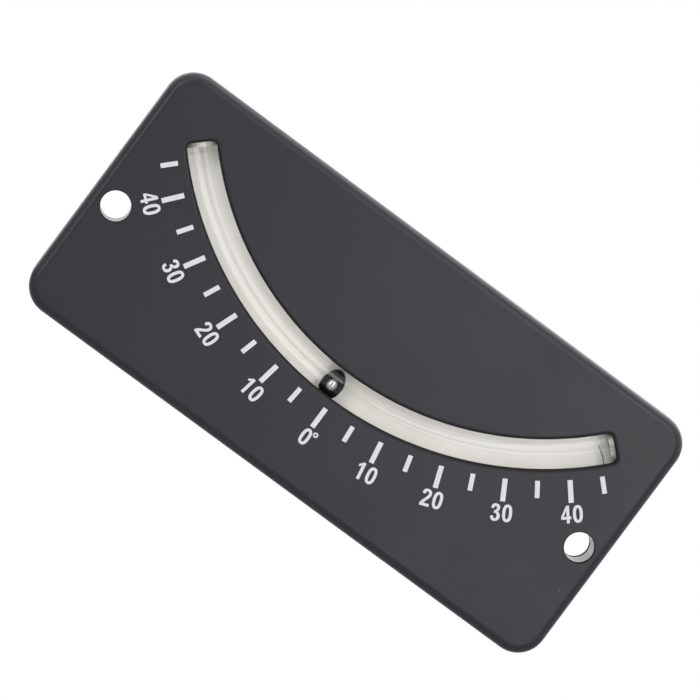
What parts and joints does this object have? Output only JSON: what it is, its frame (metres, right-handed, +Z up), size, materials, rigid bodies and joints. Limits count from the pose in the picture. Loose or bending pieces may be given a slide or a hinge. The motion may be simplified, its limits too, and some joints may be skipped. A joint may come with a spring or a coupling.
{
  "type": "ball-in-tube inclinometer",
  "caption": "Flat two-hole slope meter: a steel ball rolls in a curved, liquid-filled glass tube behind an arc window and is read against a printed degree scale.",
  "frame": {"origin": "midway between the axes of the two mounting holes, on the flat back face", "axes": "+X to the right along the length of the dial, -Y out of the dial towards the reader, +Z up when the instrument is level"},
  "size_m": [0.102, 0.0091, 0.0462],
  "materials": {
    "black_abs": "fine satin texture, moulded",
    "black_cover": "satin, moulded",
    "white_styrene": "matte white",
    "grey_silicone": "matte",
    "clear_glass": "drawn, fire-polished",
    "plug_rubber": "matte",
    "black_steel": "polished, blackened",
    "screw_steel": "zinc plated",
    "white_ink": "pad-printed ink"
  },
  "bodies": {
    "housing": {"front_housing": "black_abs", "rear_cover": "black_cover", "tube_cradle": "white_styrene", "left_tube_saddle": "grey_silicone", "right_tube_saddle": "grey_silicone", "glass_tube": "clear_glass", "left_end_plug": "plug_rubber", "right_end_plug": "plug_rubber", "cover_screws": "screw_steel", "scale_marks": "white_ink"},
    "ball": {"indicator_ball": "black_steel"}
  },
  "joints": [
    {"name": "ball_roll", "type": "hinge", "parent": "housing", "child": "ball", "pos_m": [0, -0.0055, 0.054], "axis": [0, -1, 0], "range_deg": [-43.7, 46.3]}
  ]
}
